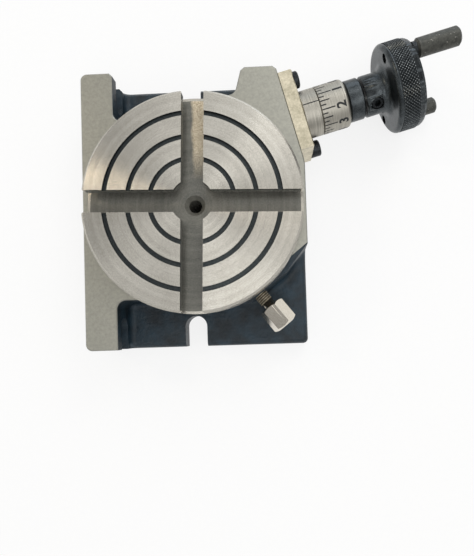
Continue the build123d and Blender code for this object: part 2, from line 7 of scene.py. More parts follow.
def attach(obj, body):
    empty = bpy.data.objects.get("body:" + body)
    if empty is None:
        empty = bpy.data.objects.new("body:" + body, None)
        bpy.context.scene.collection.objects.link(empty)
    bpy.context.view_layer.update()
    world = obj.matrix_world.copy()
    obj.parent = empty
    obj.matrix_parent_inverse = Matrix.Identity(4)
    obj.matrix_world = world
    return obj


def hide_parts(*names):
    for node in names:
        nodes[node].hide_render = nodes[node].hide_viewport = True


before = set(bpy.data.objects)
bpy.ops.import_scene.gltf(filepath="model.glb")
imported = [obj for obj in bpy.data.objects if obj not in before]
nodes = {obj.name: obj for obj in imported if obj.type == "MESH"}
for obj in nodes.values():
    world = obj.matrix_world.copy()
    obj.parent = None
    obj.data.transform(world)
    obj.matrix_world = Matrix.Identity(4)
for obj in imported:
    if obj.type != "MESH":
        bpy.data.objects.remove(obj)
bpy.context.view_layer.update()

# Face plate: a cast iron disc of 100 mm, faced on a lathe. The tool leaves fine rings
# whose sheen runs round the centre. Three ring grooves hold dark oil, and the T-slots
# and the sunk centre are milled after turning, with a coarser floor whose darker colour
# is partly painted shade. A bright part of the far slot's floor is painted light.
plate_top = 0.048
plate_radius = 0.050
groove_depth = 0.0014
rim_edge = 0.0012
cut_margin = 0.0002
tool_pitch = 0.0004
# painted light on the far slot's floor: where it starts across and along the slot, and is full
bright_side_start = 0.0010
bright_side_full = 0.0024
bright_side_waves = 0.004
bright_end_start = 0.012
bright_end_full = 0.026


def srgb(code):
    """Linear colour of an sRGB hex code."""
    parts = [int(code[i : i + 2], 16) / 255 for i in (0, 2, 4)]
    return tuple(c / 12.92 if c <= 0.04045 else ((c + 0.055) / 1.055) ** 2.4 for c in parts) + (1.0,)


def add(tree, kind, links=(), stops=(), **settings):
    """Adds a node. Links are pairs of an input and its value or the socket that feeds it.
    Stops are the two ends of a colour ramp, each a position and an sRGB hex code."""
    made = tree.nodes.new(kind)
    for name, value in settings.items():
        setattr(made, name, value)
    for name, value in links:
        if isinstance(value, bpy.types.NodeSocket):
            tree.links.new(value, made.inputs[name])
        else:
            made.inputs[name].default_value = value
    for end, (position, code) in enumerate(stops):
        made.color_ramp.elements[end].position = position
        made.color_ramp.elements[end].color = srgb(code)
    return made


def new_finish(name, metallic, roughness):
    """A new material: its node tree, its shader and the Object coordinates."""
    made = bpy.data.materials.new(name)
    made.use_nodes = True
    shader = made.node_tree.nodes["Principled BSDF"]
    shader.inputs["Metallic"].default_value = metallic
    shader.inputs["Roughness"].default_value = roughness
    place = add(made.node_tree, "ShaderNodeTexCoord").outputs["Object"]
    return made, made.node_tree, shader, place


turned_iron, tree, shader, place = new_finish("turned_cast_iron", 1.0, 0.27)
x, y, z = add(tree, "ShaderNodeSeparateXYZ", [(0, place)]).outputs
flat = add(tree, "ShaderNodeCombineXYZ", [("X", x), ("Y", y)])
radius = add(tree, "ShaderNodeVectorMath", [(0, flat.outputs[0])], operation="LENGTH").outputs["Value"]
# tool marks every 0.4 mm, coarser than the real 0.1 mm feed so that they show
turns = add(tree, "ShaderNodeMath", [(0, radius), (1, 2 * pi / tool_pitch)], operation="MULTIPLY")
marks = add(tree, "ShaderNodeMath", [(0, turns.outputs[0])], operation="SINE")
# iron grain of about 0.5 mm, and handling stains of 15 mm
grain = add(
    tree, "ShaderNodeTexNoise", [("Vector", place), ("Scale", 1900.0), ("Detail", 3.0)]
).outputs["Fac"]
stain = add(
    tree, "ShaderNodeTexNoise", [("Vector", place), ("Scale", 65.0), ("Detail", 6.0), ("Roughness", 0.65)]
).outputs["Fac"]
# each turn of the tool reflects a little differently: rings of 2 to 4 mm
ring_place = add(tree, "ShaderNodeCombineXYZ", [("X", radius)]).outputs[0]
bands = add(
    tree, "ShaderNodeTexNoise", [("Vector", ring_place), ("Scale", 420.0), ("Detail", 4.0)]
).outputs["Fac"]
mottle = add(tree, "ShaderNodeMath", [(0, stain), (1, bands)], operation="ADD")
mottle = add(tree, "ShaderNodeMath", [(0, mottle.outputs[0]), (1, grain)], operation="ADD")
mottle = add(tree, "ShaderNodeMath", [(0, mottle.outputs[0]), (1, 1 / 3)], operation="MULTIPLY").outputs[0]
faced = add(tree, "ShaderNodeValToRGB", [(0, mottle)], [(0.38, "b6b2a8"), (0.62, "d5d1c7")])
# painted shade: the milled floor is coloured darker than the faced top, partly for its coarser cut and
# partly for the shade in the slots and the sunk centre
milled_and_shade = add(tree, "ShaderNodeValToRGB", [(0, mottle)], [(0.38, "5f5f59"), (0.62, "88867d")])
oil = add(tree, "ShaderNodeValToRGB", [(0, grain)], [(0.3, "33383a"), (0.7, "474b4b")])
# painted light: the far slot's floor is painted bright on the side away from the flange, as if lit past the
# shadow of the slot's wall
painted_lit_floor = add(tree, "ShaderNodeValToRGB", [(0, grain)], [(0.35, "a8997f"), (0.65, "f0e2c6")])
wavy_x = add(tree, "ShaderNodeMath", [(0, stain), (1, bright_side_waves), (2, x)], operation="MULTIPLY_ADD")
bright_side = add(
    tree,
    "ShaderNodeMapRange",
    [("Value", wavy_x.outputs[0]), ("From Min", bright_side_start), ("From Max", bright_side_full)],
)
bright_end = add(
    tree,
    "ShaderNodeMapRange",
    [("Value", y), ("From Min", bright_end_start), ("From Max", bright_end_full)],
)
bright = add(
    tree,
    "ShaderNodeMath",
    [(0, bright_side.outputs[0]), (1, bright_end.outputs[0])],
    operation="MULTIPLY",
)
milled_and_shade = add(
    tree,
    "ShaderNodeMix",
    [(0, bright.outputs[0]), (6, milled_and_shade.outputs[0]), (7, painted_lit_floor.outputs[0])],
    data_type="RGBA",
)
# the ring grooves hold oil, and all that is deeper than they are is a milled floor
below = add(tree, "ShaderNodeMath", [(0, z), (1, plate_top - cut_margin)], operation="LESS_THAN")
sunk = add(
    tree, "ShaderNodeMath", [(0, z), (1, plate_top - groove_depth - cut_margin)], operation="LESS_THAN"
)
inside = add(tree, "ShaderNodeMath", [(0, radius), (1, plate_radius - rim_edge)], operation="LESS_THAN")
oiled = add(tree, "ShaderNodeMath", [(0, below.outputs[0]), (1, inside.outputs[0])], operation="MULTIPLY")
cut = add(
    tree, "ShaderNodeMath", [(0, sunk.outputs[0]), (1, inside.outputs[0])], operation="MULTIPLY"
).outputs[0]
tone = add(
    tree,
    "ShaderNodeMix",
    [(0, oiled.outputs[0]), (6, faced.outputs[0]), (7, oil.outputs[0])],
    data_type="RGBA",
)
tone = add(
    tree, "ShaderNodeMix", [(0, cut), (6, tone.outputs[2]), (7, milled_and_shade.outputs[2])], data_type="RGBA"
)
tree.links.new(tone.outputs[2], shader.inputs["Base Color"])
bare = add(tree, "ShaderNodeMapRange", [("Value", cut), ("To Min", 1.0), ("To Max", 0.3)])
tree.links.new(bare.outputs[0], shader.inputs["Metallic"])
shader.inputs["Anisotropic"].default_value = 0.9
shader.inputs["Anisotropic Rotation"].default_value = 0.25
around = add(tree, "ShaderNodeTangent", direction_type="RADIAL", axis="Z")
tree.links.new(around.outputs[0], shader.inputs["Tangent"])
relief = add(
    tree, "ShaderNodeMath", [(0, marks.outputs[0]), (1, 0.35), (2, grain)], operation="MULTIPLY_ADD"
)
bump = add(
    tree, "ShaderNodeBump", [("Strength", 0.35), ("Distance", 0.00003), ("Height", relief.outputs[0])]
)
tree.links.new(bump.outputs[0], shader.inputs["Normal"])
nodes["table_disc"].material_slots[0].material = turned_iron

# Degree scale on the plate's rim: 360 lines cut with an engraving tool and filled with
# black, longer at every 5 and 10 degrees, with a number stamped at every 10 degrees.
rim_line_foot = 0.0362
rim_line_width = 0.0002
rim_line_lengths = ((0.0026, 1), (0.0036, 5), (0.0046, 10))
rim_number_size = 0.0026
rim_number_rise = 0.0064
# under the mouths of the T-slots only a low strip of the rim is left
slot_turn = -1.9
slot_reach = 10.0
short_line = 0.0016
black_fill, tree, shader, place = new_finish("black_filled_engraving", 0.0, 0.6)
# dust in the fill, in specks of 0.3 mm
dust = add(tree, "ShaderNodeTexNoise", [("Vector", place), ("Scale", 3000.0), ("Detail", 2.0)])
tone = add(tree, "ShaderNodeValToRGB", [(0, dust.outputs["Fac"])], [(0.3, "0c0d0f"), (0.7, "24272a")])
tree.links.new(tone.outputs[0], shader.inputs["Base Color"])


def apply_place(piece):
    """Puts the piece's place into its mesh."""
    bpy.ops.object.select_all(action="DESELECT")
    piece.select_set(True)
    bpy.context.view_layer.objects.active = piece
    bpy.ops.object.transform_apply(location=True, rotation=True, scale=True)
    return piece


def copy_of(piece, move):
    """A copy of the piece with its own mesh, moved by a matrix."""
    made = piece.copy()
    made.data = piece.data.copy()
    bpy.context.scene.collection.objects.link(made)
    made.data.transform(move)
    return made


def joined(pieces, name):
    """The pieces as one object."""
    bpy.ops.object.select_all(action="DESELECT")
    for piece in pieces:
        piece.select_set(True)
    bpy.context.view_layer.objects.active = pieces[0]
    bpy.ops.object.join()
    made = bpy.context.object
    made.name = name
    return made


def line_at(place, size):
    """A cut line as a thin bar with chamfered ends, with the given middle and size."""
    bpy.ops.object.select_all(action="DESELECT")
    bpy.ops.mesh.primitive_cube_add(size=1, location=place, scale=size)
    made = apply_place(bpy.context.object)
    rounding = made.modifiers.new("ends", "BEVEL")
    rounding.width = 0.3 * sorted(size)[1]
    rounding.segments = 1
    bpy.ops.object.modifier_apply(modifier="ends")
    return made


def number(body, size, thickness, boldness=0.0):
    """A number as a mesh of its own, flat, centred, read from +Z."""
    bpy.ops.object.select_all(action="DESELECT")
    bpy.ops.object.text_add()
    made = bpy.context.object
    made.data.body = str(body)
    made.data.size = size
    made.data.extrude = thickness
    made.data.offset = boldness
    made.data.resolution_u = 3
    made.data.align_x = "CENTER"
    made.data.align_y = "CENTER"
    bpy.ops.object.convert(target="MESH")
    return bpy.context.object


rim_marks = []
for length, spacing in rim_line_lengths:
    line = line_at(
        (plate_radius - 0.00004, 0, rim_line_foot + length / 2), (0.0001, rim_line_width, length)
    )
    for step in range(0, 360, spacing):
        longest = 10 if step % 10 == 0 else 5 if step % 5 == 0 else 1
        if longest == spacing:
            made = copy_of(line, Matrix.Rotation(radians(step), 4, "Z"))
            if abs((step - slot_turn + 45) % 90 - 45) < slot_reach:
                shorter = Matrix.Scale(short_line / length, 4, (0, 0, 1))
                foot = Matrix.Translation((0, 0, rim_line_foot))
                made.data.transform(foot @ shorter @ foot.inverted())
            rim_marks.append(made)
    bpy.data.objects.remove(line)
# a number stands upright on the rim, with its face out
upright = Matrix(((0, 0, 1, 0), (1, 0, 0, 0), (0, 1, 0, 0), (0, 0, 0, 1)))
outward = Matrix.Translation((plate_radius - 0.00002, 0, rim_line_foot + rim_number_rise))
for step in range(0, 360, 10):
    if abs((step - slot_turn + 45) % 90 - 45) < slot_reach + 2:
        continue
    digits = number(step, rim_number_size, 0.00006)
    digits.data.transform(Matrix.Rotation(radians(step), 4, "Z") @ outward @ upright)
    rim_marks.append(digits)
rim_scale = joined(rim_marks, "rim_scale")
rim_scale.data.materials.clear()
rim_scale.data.materials.append(black_fill)
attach(rim_scale, "table")

# Base: grey iron cast in sand. The top, the flange's outer face, the drive face and the
# underside are planed or milled bare; the walls and the foot keep their rough casting
# skin under blue-black machine enamel.
body_top = 0.0346
flange_face = -0.0535
drive_turn = radians(15)
drive_face = 0.0548
along = Vector((cos(drive_turn), sin(drive_turn), 0))
across = Vector((-sin(drive_turn), cos(drive_turn), 0))
# on the top, the corner by the clamp bolt stays in paint
clamp_turn = radians(-51.5)
clamp_way = Vector((cos(clamp_turn), sin(clamp_turn), 0))
paint_start = 0.0462
painted_iron, tree, shader, place = new_finish("painted_sand_casting", 0.0, 0.5)
x, y, z = add(tree, "ShaderNodeSeparateXYZ", [(0, place)]).outputs
# sand grains of about 0.8 mm under the paint, and hollows of 8 mm
sand = add(
    tree, "ShaderNodeTexNoise", [("Vector", place), ("Scale", 800.0), ("Detail", 4.0), ("Roughness", 0.7)]
).outputs["Fac"]
hollow = add(
    tree, "ShaderNodeTexNoise", [("Vector", place), ("Scale", 120.0), ("Detail", 3.0)]
).outputs["Fac"]
enamel = add(tree, "ShaderNodeValToRGB", [(0, hollow)], [(0.35, "081820"), (0.7, "1b323f")])
bare_iron = add(tree, "ShaderNodeValToRGB", [(0, sand)], [(0.35, "9e9d94"), (0.65, "adaca1")])
toward_drive = add(tree, "ShaderNodeVectorMath", [(0, place), (1, along)], operation="DOT_PRODUCT")
toward_clamp = add(tree, "ShaderNodeVectorMath", [(0, place), (1, clamp_way)], operation="DOT_PRODUCT")
top = add(tree, "ShaderNodeMath", [(0, z), (1, body_top - 0.0004)], operation="GREATER_THAN")
unpainted = add(
    tree, "ShaderNodeMath", [(0, toward_clamp.outputs["Value"]), (1, paint_start)], operation="LESS_THAN"
)
planed = add(
    tree, "ShaderNodeMath", [(0, top.outputs[0]), (1, unpainted.outputs[0])], operation="MULTIPLY"
).outputs[0]
for distance, limit, side in (
    (z, 0.0002, "LESS_THAN"),
    (x, flange_face + 0.0002, "LESS_THAN"),
    (toward_drive.outputs["Value"], drive_face - 0.0002, "GREATER_THAN"),
):
    here = add(tree, "ShaderNodeMath", [(0, distance), (1, limit)], operation=side)
    planed = add(
        tree, "ShaderNodeMath", [(0, planed), (1, here.outputs[0])], operation="MAXIMUM"
    ).outputs[0]
tone = add(
    tree,
    "ShaderNodeMix",
    [(0, planed), (6, enamel.outputs[0]), (7, bare_iron.outputs[0])],
    data_type="RGBA",
)
tree.links.new(tone.outputs[2], shader.inputs["Base Color"])
bare = add(tree, "ShaderNodeMapRange", [("Value", planed), ("To Min", 0.0), ("To Max", 0.8)])
tree.links.new(bare.outputs[0], shader.inputs["Metallic"])
rough = add(tree, "ShaderNodeMapRange", [("Value", planed), ("To Min", 0.46), ("To Max", 0.42)])
tree.links.new(rough.outputs[0], shader.inputs["Roughness"])
skin = add(tree, "ShaderNodeMath", [(0, hollow), (1, 1.5), (2, sand)], operation="MULTIPLY_ADD")
depth = add(tree, "ShaderNodeMapRange", [("Value", planed), ("To Min", 0.0005), ("To Max", 0.00003)])
bump = add(
    tree,
    "ShaderNodeBump",
    [("Strength", 0.7), ("Distance", depth.outputs[0]), ("Height", skin.outputs[0])],
)
tree.links.new(bump.outputs[0], shader.inputs["Normal"])
nodes["base_casting"].material_slots[0].material = painted_iron

# Bearing bushes, thrust washers, worm wheel and clamp tip: tin bronze, turned or hobbed
# and left bare, so it is a warm yellow-brown metal with fine turning lines.
bronze, tree, shader, place = new_finish("tin_bronze", 1.0, 0.32)
# crystals of 1.7 mm and finer
cast = add(
    tree, "ShaderNodeTexNoise", [("Vector", place), ("Scale", 600.0), ("Detail", 4.0)]
).outputs["Fac"]
tone = add(tree, "ShaderNodeValToRGB", [(0, cast)], [(0.3, "a87f49"), (0.7, "c8a066")])
tree.links.new(tone.outputs[0], shader.inputs["Base Color"])
bump = add(tree, "ShaderNodeBump", [("Strength", 0.3), ("Distance", 0.00003), ("Height", cast)])
tree.links.new(bump.outputs[0], shader.inputs["Normal"])
for name in (
    "journal_bush",
    "thrust_washer",
    "worm_wheel",
    "inner_bush",
    "outer_bush",
    "worm_thrust_washer",
    "clamp_plug",
):
    nodes[name].material_slots[0].material = bronze

# Worm shaft, wheel key, washer and ring nut: carbon steel, turned and ground bright,
# with a thin film of oil.
bright_steel, tree, shader, place = new_finish("bright_turned_steel", 1.0, 0.26)
# marks of the tool, 0.7 mm and finer
lathe = add(
    tree, "ShaderNodeTexNoise", [("Vector", place), ("Scale", 1500.0), ("Detail", 3.0)]
).outputs["Fac"]
tone = add(tree, "ShaderNodeValToRGB", [(0, lathe)], [(0.3, "8f8f8d"), (0.7, "b7b6b2")])
tree.links.new(tone.outputs[0], shader.inputs["Base Color"])
bump = add(tree, "ShaderNodeBump", [("Strength", 0.3), ("Distance", 0.00002), ("Height", lathe)])
tree.links.new(bump.outputs[0], shader.inputs["Normal"])
for name in ("worm_shaft", "wheel_key", "nut_washer", "lock_nut"):
    nodes[name].material_slots[0].material = bright_steel

# Bracket that closes the drive housing: steel plate, surface-ground, with a warm tone
# from old oil. Held by two socket-head screws.
ground_plate, tree, shader, place = new_finish("ground_steel_plate", 1.0, 0.4)
# spots of 1 mm, and a film of oil in patches of 5 mm
spots = add(
    tree, "ShaderNodeTexNoise", [("Vector", place), ("Scale", 900.0), ("Detail", 5.0), ("Roughness", 0.65)]
).outputs["Fac"]
film = add(
    tree, "ShaderNodeTexNoise", [("Vector", place), ("Scale", 180.0), ("Detail", 3.0)]
).outputs["Fac"]
both = add(tree, "ShaderNodeMath", [(0, spots), (1, film)], operation="ADD")
half = add(tree, "ShaderNodeMath", [(0, both.outputs[0]), (1, 0.5)], operation="MULTIPLY")
tone = add(tree, "ShaderNodeValToRGB", [(0, half.outputs[0])], [(0.38, "b0a993"), (0.62, "dbd2bb")])
tree.links.new(tone.outputs[0], shader.inputs["Base Color"])
bump = add(tree, "ShaderNodeBump", [("Strength", 0.35), ("Distance", 0.00004), ("Height", spots)])
tree.links.new(bump.outputs[0], shader.inputs["Normal"])
nodes["bracket_plate"].material_slots[0].material = ground_plate

# Index sleeve and dial: steel, turned and rubbed with emery round the shaft, which
# leaves a satin grain across it.
shaft_foot = across * 0.0305 + Vector((0, 0, 0.0227))
shaft_frame = Matrix.Translation(shaft_foot) @ Matrix(
    (
        (along.x, across.x, 0, 0),
        (along.y, across.y, 0, 0),
        (0, 0, 1, 0),
        (0, 0, 0, 1),
    )
)
satin_steel, tree, shader, place = new_finish("emery_finished_steel", 1.0, 0.44)
# emery lines 0.2 mm apart, each about 10 mm long
station = add(tree, "ShaderNodeVectorMath", [(0, place), (1, along)], operation="DOT_PRODUCT")
pitch = add(
    tree, "ShaderNodeMath", [(0, station.outputs["Value"]), (1, 5000.0)], operation="MULTIPLY"
)
lengthwise = add(tree, "ShaderNodeCombineXYZ", [("X", pitch.outputs[0])])
slow = add(tree, "ShaderNodeVectorMath", [(0, place), (1, (90, 90, 90))], operation="MULTIPLY")
line_place = add(
    tree, "ShaderNodeVectorMath", [(0, slow.outputs[0]), (1, lengthwise.outputs[0])], operation="ADD"
)
emery = add(
    tree, "ShaderNodeTexNoise", [("Vector", line_place.outputs[0]), ("Scale", 1.0), ("Detail", 4.0)]
).outputs["Fac"]
tone = add(tree, "ShaderNodeValToRGB", [(0, emery)], [(0.3, "8d8a82"), (0.7, "bdb9ae")])
tree.links.new(tone.outputs[0], shader.inputs["Base Color"])
bump = add(tree, "ShaderNodeBump", [("Strength", 0.4), ("Distance", 0.00002), ("Height", emery)])
tree.links.new(bump.outputs[0], shader.inputs["Normal"])
for name in ("index_sleeve", "dial"):
    nodes[name].material_slots[0].material = satin_steel

# Index line that the dial is read against: cut along the sleeve's nose with an
# engraving tool, and filled with black.
sleeve_radius = 0.0114
index_start = 0.0615
index_end = 0.0694
index_width = 0.0006
index_angle = radians(-4.5)
index_line = line_at(
    ((index_start + index_end) / 2, 0, sleeve_radius - 0.00004),
    (index_end - index_start, index_width, 0.0001),
)
index_line.data.transform(shaft_frame @ Matrix.Rotation(index_angle, 4, "X"))
index_line.name = "index_line"
index_line.data.materials.append(black_fill)
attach(index_line, "base")

# Scale on the dial: 36 divisions of 15 minutes of table angle, every second one longer
# and every fourth one numbered, engraved round the dial and filled with black.
dial_start = 0.0696
dial_radius = 0.0114
dial_line_lengths = (0.0064, 0.0025, 0.0045, 0.0025)
dial_line_width = 0.00065
dial_number_size = 0.0063
dial_number_place = 0.0098
dial_zero = 60.3
dial_marks = []
for division in range(36):
    length = dial_line_lengths[division % 4]
    line = line_at(
        (dial_start + length / 2 + 0.0002, 0, dial_radius - 0.00003),
        (length, dial_line_width, 0.0001),
    )
    angle = radians(dial_zero - 10 * division)
    line.data.transform(shaft_frame @ Matrix.Rotation(-angle, 4, "X"))
    dial_marks.append(line)
# a number's head points to the plate, so it lies across the shaft
lie = Matrix(
    (
        (0, -1, 0, dial_start + dial_number_place),
        (1, 0, 0, 0),
        (0, 0, 1, dial_radius),
        (0, 0, 0, 1),
    )
)
for value in range(9):
    digit = number(value, dial_number_size, 0, 0.0002)
    bpy.ops.object.mode_set(mode="EDIT")
    bpy.ops.mesh.select_all(action="SELECT")
    bpy.ops.mesh.subdivide(number_cuts=2)
    bpy.ops.object.mode_set(mode="OBJECT")
    angle = radians(dial_zero - 40 * value)
    digit.data.transform(shaft_frame @ Matrix.Rotation(-angle, 4, "X") @ lie)
    wrap = digit.modifiers.new("wrap", "SHRINKWRAP")
    wrap.target = nodes["dial"]
    wrap.wrap_method = "NEAREST_SURFACEPOINT"
    wrap.wrap_mode = "ABOVE_SURFACE"
    wrap.offset = 0.00003
    bpy.ops.object.modifier_apply(modifier="wrap")
    dial_marks.append(digit)
dial_scale = joined(dial_marks, "dial_scale")
dial_scale.data.materials.clear()
dial_scale.data.materials.append(black_fill)
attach(dial_scale, "dial")

# Collar behind the dial: turned steel, blackened in hot oxidising salt. The skin is a
# soft blue-black with a dull shine.
blued_steel, tree, shader, place = new_finish("blackened_steel", 0.9, 0.32)
# clouds of 4 mm in the skin, and specks of 0.4 mm
cloud = add(
    tree, "ShaderNodeTexNoise", [("Vector", place), ("Scale", 260.0), ("Detail", 5.0), ("Roughness", 0.65)]
)
speck = add(tree, "ShaderNodeTexNoise", [("Vector", place), ("Scale", 2400.0), ("Detail", 2.0)])
both = add(
    tree, "ShaderNodeMath", [(0, cloud.outputs["Fac"]), (1, speck.outputs["Fac"])], operation="ADD"
)
half = add(
    tree, "ShaderNodeMath", [(0, both.outputs[0]), (1, 0.5)], operation="MULTIPLY"
).outputs[0]
tone = add(tree, "ShaderNodeValToRGB", [(0, half)], [(0.38, "2f3336"), (0.65, "585d5f")])
tree.links.new(tone.outputs[0], shader.inputs["Base Color"])
bump = add(tree, "ShaderNodeBump", [("Strength", 0.3), ("Distance", 0.00004), ("Height", half)])
tree.links.new(bump.outputs[0], shader.inputs["Normal"])
nodes["dial_collar"].material_slots[0].material = blued_steel

# Handwheel: turned steel with a diamond knurl pressed into its band, blackened with the
# collar. The knurl's tips are lighter, partly rubbed by hands and partly a painted highlight.
wheel_radius = 0.0210
knurl_depth = 0.00042
knurl_pitch = 0.0016
knurl_tip = knurl_pitch / 7
band_start = 0.1057
band_end = 0.1153
same_point = 0.000001
wheel_middle = shaft_frame @ Vector(((band_start + band_end) / 2, 0, 0))
bpy.ops.object.select_all(action="DESELECT")
wheel = copy_of(nodes["handwheel"], Matrix.Identity(4))
wheel.parent = None
wheel.matrix_world = Matrix.Identity(4)
wheel.name = "knurled_handwheel"
wheel.select_set(True)
bpy.context.view_layer.objects.active = wheel
bpy.ops.object.mode_set(mode="EDIT")
bpy.ops.mesh.select_mode(type="VERT")
bpy.ops.mesh.select_all(action="SELECT")
bpy.ops.mesh.remove_doubles(threshold=same_point)
bpy.ops.mesh.select_all(action="DESELECT")
bpy.ops.object.mode_set(mode="OBJECT")
# the band is taken in by the knurl's depth, so that the tips end at the wheel's radius
unturn = shaft_frame.inverted()
for vertex in wheel.data.vertices:
    spot = unturn @ vertex.co
    vertex.select = Vector((spot.y, spot.z)).length > wheel_radius - 0.00002
bpy.ops.object.mode_set(mode="EDIT")
bpy.ops.transform.resize(
    value=((wheel_radius - knurl_depth) / wheel_radius,) * 3, center_override=wheel_middle
)
bpy.ops.object.mode_set(mode="OBJECT")
bpy.ops.object.shade_smooth_by_angle(angle=radians(28))
# the faced ends are flat up to their edges
for face in wheel.data.polygons:
    face.use_smooth = abs(face.normal.dot(along)) < 0.999
# the knurl's tips are grey, in patches of 3 mm: partly rubbed down by hands to the steel, partly a painted
# highlight
rubbed_and_sheen_steel, tree, shader, place = new_finish("rubbed_and_sheen_knurl", 0.9, 0.45)
wear = add(
    tree, "ShaderNodeTexNoise", [("Vector", place), ("Scale", 300.0), ("Detail", 5.0)]
).outputs["Fac"]
tone = add(tree, "ShaderNodeValToRGB", [(0, wear)], [(0.35, "5c6062"), (0.7, "a9adad")])
tree.links.new(tone.outputs[0], shader.inputs["Base Color"])
bump = add(tree, "ShaderNodeBump", [("Strength", 0.3), ("Distance", 0.00003), ("Height", wear)])
tree.links.new(bump.outputs[0], shader.inputs["Normal"])
# one tooth of the knurl is a low pyramid with a worn tip, open where it stands on the band
bpy.ops.object.select_all(action="DESELECT")
bpy.ops.mesh.primitive_cone_add(
    vertices=4,
    radius1=knurl_pitch / 2,
    radius2=knurl_tip,
    depth=knurl_depth,
    location=(0, 0, wheel_radius - knurl_depth / 2),
)
tooth = apply_place(bpy.context.object)
tooth.data.materials.append(blued_steel)
tooth.data.materials.append(rubbed_and_sheen_steel)
bpy.ops.object.mode_set(mode="EDIT")
bpy.ops.mesh.select_mode(type="FACE")
bpy.ops.mesh.select_all(action="DESELECT")
bpy.ops.object.mode_set(mode="OBJECT")
# the tooth's tip takes the lighter grey, which is worn steel and painted highlight together
for face in tooth.data.polygons:
    face.select = face.normal.z < -0.9
    face.material_index = int(face.normal.z > 0.9)
bpy.ops.object.mode_set(mode="EDIT")
bpy.ops.mesh.delete(type="FACE")
bpy.ops.object.mode_set(mode="OBJECT")
columns = round(2 * pi * wheel_radius / knurl_pitch) * 2
rows = int((band_end - band_start) / knurl_pitch)
strips = []
for offset in (0.0, 0.5):
    teeth = [
        copy_of(tooth, Matrix.Translation((band_start + knurl_pitch * (row + offset + 0.25), 0, 0)))
        for row in range(rows)
    ]
    strips.append(joined(teeth, "knurl_strip"))
knurl = [
    copy_of(strips[column % 2], shaft_frame @ Matrix.Rotation(2 * pi * column / columns, 4, "X"))
    for column in range(columns)
]
for piece in (tooth, *strips):
    bpy.data.objects.remove(piece)
wheel.data.materials.clear()
wheel.data.materials.append(blued_steel)
wheel = joined([wheel, *knurl], "knurled_handwheel")
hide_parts("handwheel")
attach(wheel, "worm")

# Socket-head screws of the bracket, the hub's set screw and the handles' shoulder
# screws: quenched steel, black from the oil bath.
oil_black, tree, shader, place = new_finish("oil_quenched_steel", 0.7, 0.36)
# scale of 0.8 mm and finer
scale = add(
    tree, "ShaderNodeTexNoise", [("Vector", place), ("Scale", 1200.0), ("Detail", 3.0)]
).outputs["Fac"]
tone = add(tree, "ShaderNodeValToRGB", [(0, scale)], [(0.3, "16181a"), (0.7, "34383b")])
tree.links.new(tone.outputs[0], shader.inputs["Base Color"])
bump = add(tree, "ShaderNodeBump", [("Strength", 0.3), ("Distance", 0.00003), ("Height", scale)])
tree.links.new(bump.outputs[0], shader.inputs["Normal"])
for name in (
    "bracket_screw_far",
    "bracket_screw_near",
    "hub_set_screw",
    "long_handle_screw",
    "short_handle_screw",
):
    nodes[name].material_slots[0].material = oil_black

# Handle grips: free-cutting steel, turned and phosphated, a dull dark grey with small
# lighter nicks from use.
phosphated, tree, shader, place = new_finish("phosphated_steel", 0.6, 0.46)
# phosphate in patches of 2 mm and finer, and nicks of 1 mm
coat = add(
    tree, "ShaderNodeTexNoise", [("Vector", place), ("Scale", 500.0), ("Detail", 6.0), ("Roughness", 0.7)]
).outputs["Fac"]
nicks = add(tree, "ShaderNodeTexNoise", [("Vector", place), ("Scale", 900.0), ("Detail", 1.0)])
nicked = add(
    tree, "ShaderNodeMath", [(0, nicks.outputs["Fac"]), (1, 0.7)], operation="GREATER_THAN"
)
dull = add(tree, "ShaderNodeValToRGB", [(0, coat)], [(0.3, "373835"), (0.7, "575751")])
worn = add(tree, "ShaderNodeValToRGB", [(0, coat)], [(0.3, "74736d"), (0.7, "8f8d86")])
tone = add(
    tree,
    "ShaderNodeMix",
    [(0, nicked.outputs[0]), (6, dull.outputs[0]), (7, worn.outputs[0])],
    data_type="RGBA",
)
tree.links.new(tone.outputs[2], shader.inputs["Base Color"])
bump = add(tree, "ShaderNodeBump", [("Strength", 0.35), ("Distance", 0.00004), ("Height", coat)])
tree.links.new(bump.outputs[0], shader.inputs["Normal"])
for name in ("long_handle", "short_handle"):
    nodes[name].material_slots[0].material = phosphated

# Clamp bolt: a hexagon bolt, turned from bar, with a rolled thread, plated with nickel
# over the machined flats.
clamp_side = Vector((-sin(clamp_turn), cos(clamp_turn), 0))
clamp_foot = clamp_side * -0.0034 + Vector((0, 0, 0.0310))
clamp_frame = Matrix.Translation(clamp_foot) @ Matrix(
    (
        (clamp_way.x, clamp_side.x, 0, 0),
        (clamp_way.y, clamp_side.y, 0, 0),
        (0, 0, 1, 0),
        (0, 0, 0, 1),
    )
)
thread_pitch = 0.001
thread_start = 0.0470
thread_end = 0.0550
# the ridge at its root, just inside the shank, and at its crest
root_radius = 0.00285
root_half = 0.0003
crest_radius = 0.00325
crest_half = 0.0002
nickel, tree, shader, place = new_finish("nickel_plated_steel", 1.0, 0.16)
# haze of 0.7 mm and finer in the plating
haze = add(
    tree, "ShaderNodeTexNoise", [("Vector", place), ("Scale", 1500.0), ("Detail", 4.0)]
).outputs["Fac"]
tone = add(tree, "ShaderNodeValToRGB", [(0, haze)], [(0.3, "d3ccbe"), (0.7, "dfd9cd")])
tree.links.new(tone.outputs[0], shader.inputs["Base Color"])
bump = add(tree, "ShaderNodeBump", [("Strength", 0.25), ("Distance", 0.00003), ("Height", haze)])
tree.links.new(bump.outputs[0], shader.inputs["Normal"])
